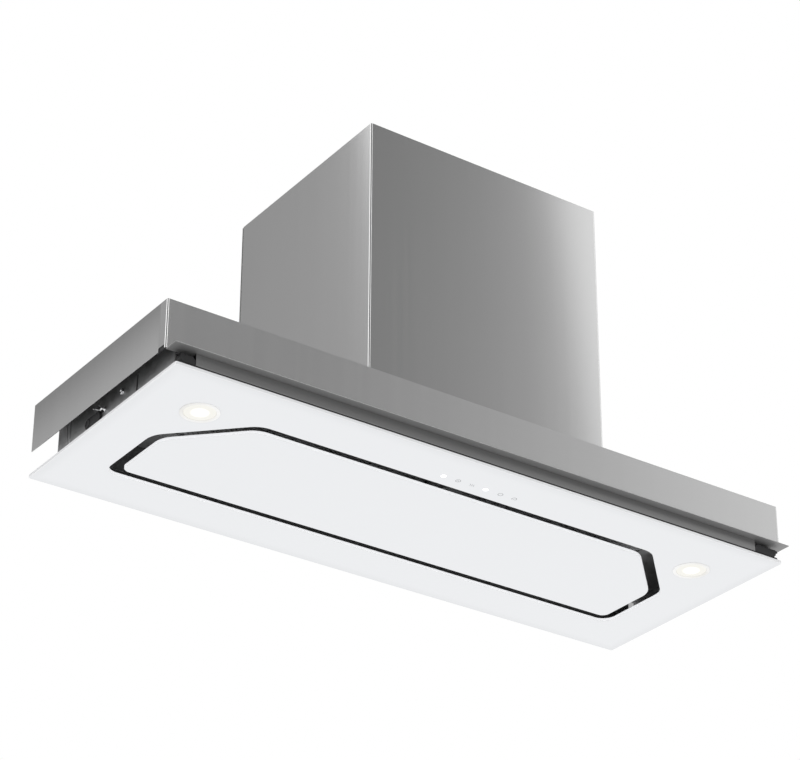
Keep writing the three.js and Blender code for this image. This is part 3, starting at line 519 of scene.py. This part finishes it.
class Form:
    """Points and faces of one piece, gathered shell by shell."""

    def __init__(self):
        self.points, self.faces, self.count = [], [], 0

    def grid(self, points, wrap_u=False, wrap_v=False, caps=False):
        """Quads over points[u, v]; wrapping joins the last row or column to the first."""
        rows, columns = points.shape[:2]
        index = np.arange(rows * columns).reshape(rows, columns) + self.count
        low = index if wrap_u else index[:-1]
        high = np.roll(index, -1, 0) if wrap_u else index[1:]
        if wrap_v:
            quads = np.stack([low, np.roll(low, -1, 1), np.roll(high, -1, 1), high], -1)
        else:
            quads = np.stack([low[:, :-1], low[:, 1:], high[:, 1:], high[:, :-1]], -1)
        self.faces += quads.reshape(-1, 4).tolist()
        if caps:
            self.faces += [index[0, ::-1].tolist(), index[-1].tolist()]
        self.points.append(points.reshape(-1, 3))
        self.count += rows * columns
        return self

    def sheet(self, path, wall, radius, axis, low, high):
        """A folded section carried along an axis. low and high may be one level for each point."""
        outer, inner = bent_line(path, wall, radius)
        count = len(outer)
        ends = [np.broadcast_to(level(outer) if callable(level) else level, count)
                for level in (low, high)]
        corners = []
        for line in (outer, inner):
            for end in ends:
                flat = along(axis, line, 0.0)
                flat[:, "xyz".index(axis)] = end
                corners.append(flat)
        outer_low, outer_high, inner_low, inner_high = corners
        ring = np.stack([outer_low, outer_high, inner_high, inner_low])
        return self.grid(ring.transpose(1, 0, 2), wrap_v=True, caps=True)

    def prism(self, outline, axis, low, high, arris=0.0):
        """An outline carried along an axis, with a small flat cut on both rims."""
        if not arris:
            rows = [(outline, low), (outline, high)]
        else:
            small = inset(outline, arris)
            rows = [(small, low), (outline, low + arris), (outline, high - arris), (small, high)]
        return self.grid(np.stack([along(axis, o, z) for o, z in rows]), wrap_v=True, caps=True)

    def plate(self, outline, holes, low, high, arris):
        """A flat plate with holes: cut rims all round, and flat faces filled between the rims."""
        loops = []
        for n, line in enumerate([outline, *holes]):
            small = inset(line, arris if n == 0 else -arris)
            rows = [(small, low), (line, low + arris), (line, high - arris), (small, high)]
            first = self.count
            self.grid(np.stack([along("z", o, z) for o, z in rows]), wrap_v=True)
            loops.append((small, first, first + 3 * len(line)))
        triangles = tessellate_polygon(
            [[Vector((*p, 0.0)) for p in small] for small, a, b in loops])
        bottom = np.concatenate([np.arange(len(s)) + a for s, a, b in loops])
        top = np.concatenate([np.arange(len(s)) + b for s, a, b in loops])
        for index in (bottom, top):
            self.faces += [[int(index[i]) for i in triangle] for triangle in triangles]
        return self

    def turned(self, profile, centre, axis="z", segments=48, closed=False):
        """A profile of (radius, height) carried round an axis through a centre."""
        profile = np.array(profile, float)
        angles = TAU * np.arange(segments) / segments
        a = profile[None, :, 0] * np.cos(angles)[:, None]
        b = profile[None, :, 0] * np.sin(angles)[:, None]
        h = np.broadcast_to(profile[None, :, 1], a.shape)
        order = {"x": (h, a, b), "y": (b, h, a), "z": (a, b, h)}[axis]
        return self.grid(np.stack(order, -1) + np.array(centre), wrap_u=True, wrap_v=closed)

    def box(self, low, high, arris):
        """A block with cut rims, carried along its longest side."""
        low, high = np.array(low, float), np.array(high, float)
        axis = int(np.argmax(high - low))
        a, b = [i for i in range(3) if i != axis]
        outline = np.array([[low[a], low[b]], [high[a], low[b]],
                            [high[a], high[b]], [low[a], high[b]]])
        outline = rounded_outline(outline, [arris] * 4, step=30.0)
        return self.prism(outline, "xyz"[axis], low[axis], high[axis], arris)

    def build(self, name, finish, slot, body="hood", stands_for=()):
        """Makes the piece: doubles merged, faces outwards, smooth between sharp edges."""
        mesh = bpy.data.meshes.new(name)
        mesh.from_pydata((np.vstack(self.points) * MM).tolist(), [], self.faces)
        work = bmesh.new()
        work.from_mesh(mesh)
        bmesh.ops.remove_doubles(work, verts=work.verts, dist=1e-6)
        bmesh.ops.dissolve_degenerate(work, edges=work.edges, dist=1e-7)
        bmesh.ops.recalc_face_normals(work, faces=work.faces)
        work.to_mesh(mesh)
        work.free()
        mesh.shade_smooth()
        mesh.set_sharp_from_angle(angle=math.radians(SHARP_ANGLE))
        mesh.materials.append(finish)
        piece = bpy.data.objects.new(name, mesh)
        bpy.context.scene.collection.objects.link(piece)
        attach(piece, body)
        if stands_for:
            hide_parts(*stands_for)
        return piece


# ---- casing


def casing():
    """The wrap is one folded sheet; the back panel closes it and is screwed to its flanges."""
    low, high = span("casing_wrap")
    back = high[1]
    flange = 12.0
    x0, x1, y0 = low[0], high[0], low[1]
    path = [(x0 + flange, back), (x0, back), (x0, y0), (x1, y0), (x1, back), (x1 - flange, back)]
    Form().sheet(path, SHEET, BEND, "z", low[2], high[2]).build(
        "casing_sheet", casing_steel, "brushed_steel", stands_for=["casing_wrap"])
    low, high = span("casing_back_panel")
    outline = np.array([(low[0], low[2]), (high[0], low[2]), (high[0], high[2]), (low[0], high[2])])
    outline = rounded_outline(outline, [1.0] * 4, step=30.0)
    Form().prism(outline, "y", low[1], high[1], 0.35).build(
        "casing_back_sheet", casing_steel, "brushed_steel", stands_for=["casing_back_panel"])


def back_screws():
    """Pan heads in two columns: a turned profile whose height falls off as a quarter ellipse."""
    radius, height, sunk = 3.6, 1.8, 0.1
    side_inset, end_inset, rows = 7.0, 30.0, 4
    low, high = span("casing_back_panel")
    rise = np.linspace(0, math.pi / 2, 4)[:-1]
    profile = [(0.0, 0.0), (radius, 0.0),
               *zip(radius * np.cos(rise) * 0.999, height * np.sin(rise)),
               (radius * 0.35, height), (radius * 0.3, height * 0.5), (0.0, height * 0.5)]
    form = Form()
    for x in (low[0] + side_inset, high[0] - side_inset):
        for z in np.linspace(low[2] + end_inset, high[2] - end_inset, rows):
            form.turned(profile, (x, high[1] - sunk, z), "y", segments=12)
    form.build("casing_back_screws", fixing_zinc, "zinc_steel")


# ---- canopy


def canopy():
    """The front sheet is folded round both corners; its returns stop short at the foot.

    The back rail is folded inwards along its foot, and the side sheets reach the back.
    """
    low, high = span("canopy_front_panel")
    side, edge, end, foot = high[0], low[1], high[1], low[2]
    notch, rise = 6.0, 0.1  # height of the step in the returns' foot, and its run
    step = edge + BEND + SEAM
    path = [(-side, end), (-side, step + rise), (-side, step), (-side, edge),
            (side, edge), (side, step), (side, step + rise), (side, end)]

    def lower_edge(line):
        return np.where(line[:, 1] > step + rise / 2, foot + notch, foot)

    Form().sheet(path, SHEET, BEND, "z", lower_edge, high[2]).build(
        "canopy_front_sheet", canopy_steel, "brushed_steel", stands_for=["canopy_front_panel"])
    side_reach = 0.35  # of the side sheets towards the returns
    for side in ("left", "right"):
        low, high = span(f"canopy_{side}_panel")
        low[1] -= side_reach
        Form().box(low, high, 0.12).build(
            f"canopy_{side}_sheet", canopy_steel, "brushed_steel",
            stands_for=[f"canopy_{side}_panel"])
    low, high = span("canopy_back_panel")
    path = [(low[1], low[2]), (high[1], low[2]), (high[1], high[2])]
    Form().sheet(path, SHEET, BODY_BEND, "x", low[0], high[0]).build(
        "canopy_back_rail", canopy_steel, "brushed_steel", stands_for=["canopy_back_panel"])


def lip():
    """The lip's sole has a fully rounded front edge; its leg stands inside the front panel."""
    low, high = span("front_lip")
    sole_top = low[2] + SHEET
    radius = SHEET / 2 - 0.05
    outline = rounded_outline(
        [(low[1], low[2]), (high[1], low[2]), (high[1], sole_top), (low[1], sole_top)],
        [radius, 0.2, 0.2, radius], step=18.0)
    form = Form().prism(outline, "x", low[0], high[0], 0.2)
    leg_x = 572.0
    leg = rounded_outline(
        [(high[1] - SHEET, sole_top), (high[1], sole_top),
         (high[1], high[2]), (high[1] - SHEET, high[2])],
        [0.2] * 4, step=45.0)
    form.prism(leg, "x", -leg_x, leg_x, 0.2)
    form.build("front_lip_sheet", shaded_lip_steel, "brushed_steel", stands_for=["front_lip"])


def strip_and_caps():
    low, high = span("front_strip")
    back, face, foot, top = high[1], low[1], low[2], high[2]
    path = [(face, top), (face, foot), (back, foot)]
    form = Form().sheet(path, SHEET, STRIP_BEND, "x", low[0], high[0])
    form.box((low[0], face + SHEET, top - SHEET), (high[0], back, top), 0.1)
    form.build("front_strip_sheet", shaded_strip_steel, "brushed_steel", stands_for=["front_strip"])
    for side, sign in (("left", -1), ("right", 1)):
        low, high = span(f"end_cap_{side}")
        inner, outer = sorted((abs(low[0]), abs(high[0])))
        cut = 5.0
        points = [(inner, low[2]), (outer - cut, low[2]), (outer, low[2] + cut),
                  (outer, high[2]), (inner + cut, high[2]), (inner, high[2] - cut)]
        outline = rounded_outline([(sign * x, z) for x, z in points], [0.8] * 6, step=15.0)
        form = Form().prism(outline, "y", low[1], high[1], 0.6)
        nub = sorted((sign * (outer - 2.0), sign * (outer + 6.0)))
        form.box((nub[0], low[1] + 2.0, high[2] - 3.2), (nub[1], low[1] + 7.0, high[2]), 0.5)
        form.build(f"end_cap_{side}_moulding", black_moulding, "black_plastic",
                   stands_for=[f"end_cap_{side}"])


# ---- glass


def cut_corner_outline(low, high, chamfer, radius):
    """A rectangle with its two front corners cut off; the cut ones are rounded more widely."""
    points = [(low[0], high[1]), (low[0], low[1] + chamfer), (low[0] + chamfer, low[1]),
              (high[0] - chamfer, low[1]), (high[0], low[1] + chamfer), (high[0], high[1])]
    cut_radius = 42.0
    return rounded_outline(points, [radius, *[cut_radius] * 4, radius], step=5.0)


def glass():
    arris, corner, lamp_hole = 0.8, 3.0, 29.0
    slot_width, chamfer, inlet_corner, panel_corner = 20.0, 120.0, 24.0, 14.0
    low, high = glass_low, glass_high
    corners = [(low[0], low[1]), (high[0], low[1]), (high[0], high[1]), (low[0], high[1])]
    outline = rounded_outline(corners, [corner] * 4)
    panel_low, panel_high = span("centre_glass")
    inlet = cut_corner_outline(
        panel_low - slot_width, panel_high + slot_width, chamfer, inlet_corner)
    lamp_holes = [circle(centre, lamp_hole, 64) for centre in lamp_centres]
    Form().plate(outline, [inlet, *lamp_holes], low[2], high[2], arris).build(
        "glass_surround_plate", white_glass, "white_glass", stands_for=["glass_surround"])
    panel_chamfer = chamfer - slot_width * (2 - math.sqrt(2))  # leaves an even slot
    panel = cut_corner_outline(panel_low, panel_high, panel_chamfer, panel_corner)
    Form().plate(panel, [], panel_low[2], panel_high[2], arris).build(
        "centre_glass_plate", white_glass, "white_glass", "centre_panel",
        stands_for=["centre_glass"])


def lamps():
    """Each ring is a turned section with a rounded lip; each lens is a shallow dome."""
    for side, centre in zip(("left", "right"), lamp_centres):
        low, high = span(f"lamp_ring_{side}")
        lens_low, lens_high = span(f"lamp_lens_{side}")
        outer = (high[0] - low[0]) / 2
        inner = (lens_high[0] - lens_low[0]) / 2 + GAP
        tube, face, seat = 28.5, low[2], glass_low[2] - 0.02
        ring = [(inner, face + 0.45), (inner + 0.25, face + 0.1), (inner + 0.7, face),
                (outer - 0.8, face), (outer - 0.25, face + 0.15), (outer, face + 0.45),
                (outer - 0.1, seat), (tube, seat), (tube, high[2]), (inner, high[2])]
        Form().turned(ring, (*centre, 0.0), segments=72, closed=True).build(
            f"lamp_ring_{side}_moulding", ring_moulding, "lamp_ring",
            stands_for=[f"lamp_ring_{side}"])
        reach = inner - GAP
        share = np.linspace(0, 1, 9)
        dome = [(reach * s, lens_low[2] + 0.5 * s ** 4) for s in share]
        lens = [*dome, (reach, lens_high[2]), (0.0, lens_high[2])]
        Form().turned(lens, (*centre, 0.0), segments=64).build(
            f"lamp_lens_{side}_frosted", lens_frost, "lamp_lens",
            stands_for=[f"lamp_lens_{side}"])


def key_marks():
    """Six keys in a row: two lit patches, and four printed signs made of thin arcs."""
    foot = glass_low[2] - 0.04
    thick = 0.06
    row_y = -157.0
    xs = (-61.2, -33.0, -6.1, 20.9, 50.2, 77.6)
    sign_radius, glow_radius = 4.0, 4.4
    arc_half_width, stroke_half_width = 0.55, 0.45
    signs = Form()

    def arc(cx, cy, start, end):
        """A flat arc: the strip between two circles, from one angle to the other, in degrees."""
        angles = np.radians(np.linspace(start, end, 25))
        inner, outer = sign_radius - arc_half_width, sign_radius + arc_half_width
        rows = []
        for r, z in ((inner, foot), (outer, foot),
                     (outer, foot + thick), (inner, foot + thick)):
            rows.append(np.stack([cx + r * np.cos(angles), cy + r * np.sin(angles),
                                  np.full(len(angles), z)], 1))
        full = abs(end - start) >= 360
        rows = np.stack(rows, 1)
        signs.grid(rows[:-1] if full else rows, wrap_u=full, wrap_v=True, caps=not full)

    def stroke(x0, y0, x1, y1):
        """A flat bar between two points."""
        run = np.array([x1 - x0, y1 - y0])
        side = np.array([-run[1], run[0]]) / np.linalg.norm(run) * stroke_half_width
        a, b = np.array([x0, y0]), np.array([x1, y1])
        signs.prism(np.array([a - side, b - side, b + side, a + side]), "z", foot, foot + thick)

    arc(xs[1], row_y, 0, 360)
    stroke(xs[1] - 2.0, row_y - 1.6, xs[1] + 2.0, row_y + 1.6)
    for shift in (-3.2, 0.0, 3.2):
        stroke(xs[2] + shift - 1.4, row_y - 3.2, xs[2] + shift + 1.4, row_y + 3.2)
    arc(xs[4], row_y, 0, 360)
    arc(xs[5], row_y, 130, 410)
    stroke(xs[5], row_y, xs[5], row_y + 3.6)
    signs.build("key_signs", mark_print, "grey_plastic")
    glow = Form()
    for x in (xs[0], xs[3]):
        glow.prism(circle((x, row_y), glow_radius, 32), "z", foot, foot + thick)
    glow.build("key_lights", key_glow, "lamp_lens")


# ---- fixings on the inner body


def side_fixings():
    """Side screws with a washer, wing screws with two curled wings, and the cable's box."""
    wing_reach, stud_reach, threads = 15.9, 8.0, 8
    for side, sign in (("left", -1), ("right", 1)):
        low, high = span(f"side_screw_{side}")
        y, z = (low[1] + high[1]) / 2, (low[2] + high[2]) / 2
        face = sign * (BODY_SIDE + GAP)
        out = sign * 3.0
        profile = [(0.0, 0.0), (5.4, 0.0), (5.6, out * 0.1), (5.4, out * 0.25),
                   (4.5, out * 0.3), (4.4, out * 0.7), (3.6, out * 0.95), (2.6, out),
                   (2.2, out * 0.7), (0.0, out * 0.6)]
        form = Form().turned(profile, (face, y, z), "x", 32)
        shank = [(0.0, 0.0), (1.9, 0.0), (1.9, -sign * 6.0), (1.4, -sign * 6.4), (0.0, -sign * 6.4)]
        form.turned(shank, (face, y, z), "x", 20)
        form.build(f"side_screw_{side}_turned", fixing_zinc, "zinc_steel",
                   stands_for=[f"side_screw_{side}"])

        low, high = span(f"wing_screw_{side}")
        y, z = (low[1] + high[1]) / 2, (low[2] + high[2]) / 2
        hub = [(0.0, 0.0), (5.0, 0.0), (5.0, sign * 1.0), (4.6, sign * 1.6), (3.9, sign * 5.2),
               (3.4, sign * 6.8), (2.4, sign * 7.4), (0.0, sign * 7.6)]
        form = Form().turned(hub, (face, y, z), "x", 32)
        thread = np.linspace(0, 1, 33)
        ridge = 1.75 + 0.15 * np.cos(thread * TAU * threads)
        stud = [(0.0, 0.0), *zip(ridge, -sign * stud_reach * thread), (0.0, -sign * stud_reach)]
        form.turned(stud, (face, y, z), "x", 20)
        for way in (-1, 1):
            share = np.linspace(0, 1, 12)
            arm = 1.8 + 5.4 * share ** 0.8
            lift = 4.4 + 9.4 * share ** 1.3
            wide = 2.1 + 1.7 * np.sin(share * math.pi * 0.75)
            thin = 1.25 - 0.3 * share
            angles = TAU * np.arange(12) / 12
            ring_y = y + way * (arm[:, None] + wide[:, None] * np.cos(angles) * 0.35)
            height = lift[:, None] + wide[:, None] * np.cos(angles) * 0.6
            ring_x = face + sign * np.minimum(height, wing_reach)
            ring_z = z + thin[:, None] * np.sin(angles)
            form.grid(np.stack([ring_x, ring_y, ring_z], -1), wrap_v=True, caps=True)
        form.build(f"wing_screw_{side}_turned", fixing_zinc, "zinc_steel",
                   f"{side}_wing_screw", stands_for=[f"wing_screw_{side}"])

    low, high = span("cable_box")
    corners = [(low[1], low[2]), (high[1], low[2]), (high[1], high[2]), (low[1], high[2])]
    outline = rounded_outline(corners, [8.0] * 4, step=15.0)
    form = Form().prism(outline, "x", low[0] + 1.2, high[0], 1.0)
    cover = (high[1] - 9.0, (low[2] + high[2]) / 2)
    rim = [(5.0, 0.4), (5.0, -0.8), (5.6, -1.1), (6.6, -1.1), (7.2, -0.8), (7.2, 0.4)]
    form.turned(rim, (low[0] + 1.2, *cover), "x", 32, closed=True)
    form.build("cable_box_moulding", black_moulding, "black_plastic", stands_for=["cable_box"])


def slot_pads():
    """Black foam behind the upright slots of the side walls, to keep grease air out."""
    form = Form()
    inside = BODY_SIDE - SHEET
    foot, top, half_width, thick = -564.0, -532.0, 4.5, 2.0
    slot_ys = (-94.0, 22.0)
    for sign in (-1, 1):
        for y in slot_ys:
            low, high = sorted((sign * (inside - thick), sign * inside))
            form.box((low, y - half_width, foot), (high, y + half_width, top), 0.4)
    form.build("slot_pads", foam_tape, "black_rubber")


def wall_beads():
    """Upright half-round beads pressed in the side walls, near their back ends."""
    form = Form()
    wall_low, wall_high = span("body_left_wall")
    half_width, proud, root = 1.6, 0.9, BODY_SIDE - 0.6
    share = np.linspace(0, math.pi, 9)
    for sign in (-1, 1):
        for y in (wall_high[1] - 38.0, wall_high[1] - 28.0):
            section = np.stack([sign * (BODY_SIDE + proud * np.sin(share)),
                                y + half_width * np.cos(share)], 1)
            section = np.vstack([section, [(sign * root, y - half_width),
                                           (sign * root, y + half_width)]])
            form.prism(section, "z", wall_low[2] + 5.0, wall_high[2] - 8.0)
    form.build("wall_beads", shaded_wall_sheet, "dark_steel")


# ---- grease filters


def filter_grilles():
    """Expanded aluminium under each filter: strands that wander sideways as a cosine, two by two
    in opposite phase, so that neighbours meet and leave diamonds."""
    for side in ("left", "right"):
        low, high = span(f"filter_mesh_{side}")
        pitch_x, pitch_y = 11.0, 5.5
        xs = np.arange(low[0], high[0] + 0.1, pitch_x / 6)
        rows = np.arange(low[1] + pitch_y, high[1] - pitch_y / 2, pitch_y)
        form = Form()
        for n, y in enumerate(rows):
            swing = (pitch_y / 2 - 0.2) * np.cos(TAU * xs / pitch_x + math.pi * n)
            level = low[2] - 0.6 + 0.35 * np.sin(TAU * xs / pitch_x + math.pi * n)
            corners = [(-0.45, -0.3), (0.45, -0.3), (0.45, 0.3), (-0.45, 0.3)]
            strand = np.stack([np.stack([xs, y + swing + a, level + b], 1) for a, b in corners], 1)
            form.grid(strand, wrap_v=True, caps=True)
        form.build(f"filter_grille_{side}", aluminium_mesh, "aluminium")


# ---- duct collar


def collar():
    """The collar's tube is turned, with a bead near its rim; its base is a plate under it."""
    low, high = span("duct_collar")
    pin_low, pin_high = span("flap_pin")
    centre_y = (pin_low[1] + pin_high[1]) / 2
    radius, wall, flange = 75.0, 3.0, 3.0
    inside = radius - wall
    top, foot = high[2], low[2]
    profile = [(inside, foot), (inside, top - 0.8), (inside + 0.8, top), (radius - 0.8, top),
               (radius, top - 0.8), (radius, top - 9.0), (radius + 1.2, top - 10.5),
               (radius + 1.2, top - 12.5), (radius, top - 14.0), (radius, foot + flange),
               (radius, foot)]
    form = Form().turned(profile, (0.0, centre_y, 0.0), segments=96, closed=True)
    corners = [(low[0], low[1]), (high[0], low[1]), (high[0], high[1]), (low[0], high[1])]
    hole = circle((0.0, centre_y), radius - 0.5, 96)
    form.plate(rounded_outline(corners, [2.0] * 4), [hole], foot, foot + flange, 0.4)
    form.build("duct_collar_moulding", grey_moulding, "grey_plastic", stands_for=["duct_collar"])


casing()
back_screws()
canopy()
lip()
strip_and_caps()
glass()
lamps()
key_marks()
side_fixings()
slot_pads()
wall_beads()
filter_grilles()
collar()


# ---- floor, light and camera


def floor():
    """A wide pale floor far below; only the camera sees it, so it adds no light of its own."""
    def paint(place):
        fleck = place.noise(3.0, 3.0)
        return {"Base Color": fleck.mix((0.80, 0.80, 0.80), (0.84, 0.84, 0.84)),
                "Roughness": 0.7 + 0.1 * fleck}
    size, level = 60.0, -3.4
    mesh = bpy.data.meshes.new("floor")
    corners = [(-size, -size, level), (size, -size, level),
               (size, size, level), (-size, size, level)]
    mesh.from_pydata(corners, [], [(0, 1, 2, 3)])
    mesh.materials.append(material("pale_floor", paint))
    plane = bpy.data.objects.new("floor", mesh)
    bpy.context.scene.collection.objects.link(plane)
    plane.visible_glossy = plane.visible_diffuse = plane.visible_transmission = False
    plane.visible_shadow = False


def studio():
    """Soft light from all round: white below, grey above, and a few wide soft boxes.

    Each box is a smooth rise of the cosine between a direction and the box's own. The camera
    sees plain white.
    """
    world = bpy.data.worlds.new("studio")
    bpy.context.scene.world = world
    world.use_nodes = True
    tree = world.node_tree
    way = Wire(tree).node("ShaderNodeTexCoord", {}, {}, out="Generated")
    height = way.parts()[2]
    light = 1.0 - 0.72 * height.rise(-0.12, 0.30)
    boxes = [
        ((0.84, -0.36, 0.40), 0.86, 0.985, 0.95),
        ((-0.85, 0.36, 0.38), 0.70, 1.00, 0.44),
        ((-0.845, 0.226, 0.485), 0.960, 0.985, 1.6),
        ((0.076, -0.871, 0.485), 0.965, 0.985, 1.6),
        ((0.0, 0.0, 1.0), 0.72, 0.92, 2.4),
    ]
    for direction, low, high, power in boxes:
        unit = Vector(direction).normalized()
        cosine = way.node("ShaderNodeVectorMath", {"operation": "DOT_PRODUCT"},
                          {0: way, 1: tuple(unit)}, out="Value")
        light = light + power * cosine.rise(low, high)
    seen = way.node("ShaderNodeLightPath", {}, {}, out="Is Camera Ray")
    background = tree.nodes["Background"]
    tree.links.new(seen.most(light * (1.0 - seen)).socket, background.inputs["Strength"])
    background.inputs["Color"].default_value = (1.0, 1.0, 1.0, 1.0)


def strip_light(name, place, target, size, power, lit):
    """A soft area light, hidden from the camera, that lights only the pieces named in lit."""
    data = bpy.data.lights.new(name, "AREA")
    data.shape, data.size, data.size_y, data.energy = "RECTANGLE", size[0], size[1], power
    lamp = bpy.data.objects.new(name, data)
    bpy.context.scene.collection.objects.link(lamp)
    lamp.location = place
    lamp.rotation_euler = (Vector(target) - Vector(place)).to_track_quat("-Z", "Y").to_euler()
    lamp.visible_camera = False
    group = bpy.data.collections.new(name + "_group")
    for piece in lit:
        group.objects.link(bpy.data.objects[piece])
    lamp.light_linking.receiver_collection = group


def camera():
    """A long lens below and to the left of the front, looking up."""
    focal_length, sensor_width, far = 120.6, 36.0, 200.0
    place = (-2.266, -3.190, -2.482)
    azimuth, elevation, roll = (math.radians(degrees) for degrees in (34.96, 28.97, 0.24))
    ahead = Vector((math.sin(azimuth) * math.cos(elevation),
                    math.cos(azimuth) * math.cos(elevation), math.sin(elevation)))
    right = Vector((math.cos(azimuth), -math.sin(azimuth), 0.0))
    up = right.cross(ahead)
    right, up = (right * math.cos(roll) + up * math.sin(roll),
                 up * math.cos(roll) - right * math.sin(roll))
    data = bpy.data.cameras.new("camera")
    data.lens, data.sensor_width, data.clip_end = focal_length, sensor_width, far
    seen = bpy.data.objects.new("camera", data)
    bpy.context.scene.collection.objects.link(seen)
    turn = Matrix((right, up, -ahead)).transposed().to_4x4()
    seen.matrix_world = Matrix.Translation(place) @ turn
    bpy.context.scene.camera = seen


floor()
studio()
strip_light("right_strip", (0.96, -0.80, 0.46), (0.10, -0.197, -0.1), (0.48, 1.3), 1.45,
            ["casing_sheet"])
strip_light("left_strip", (-0.70, 0.28, 0.42), (-0.2325, -0.1, -0.1), (0.24, 1.1), 0.85,
            ["casing_sheet"])
camera()
bpy.context.scene.view_settings.view_transform = "Standard"
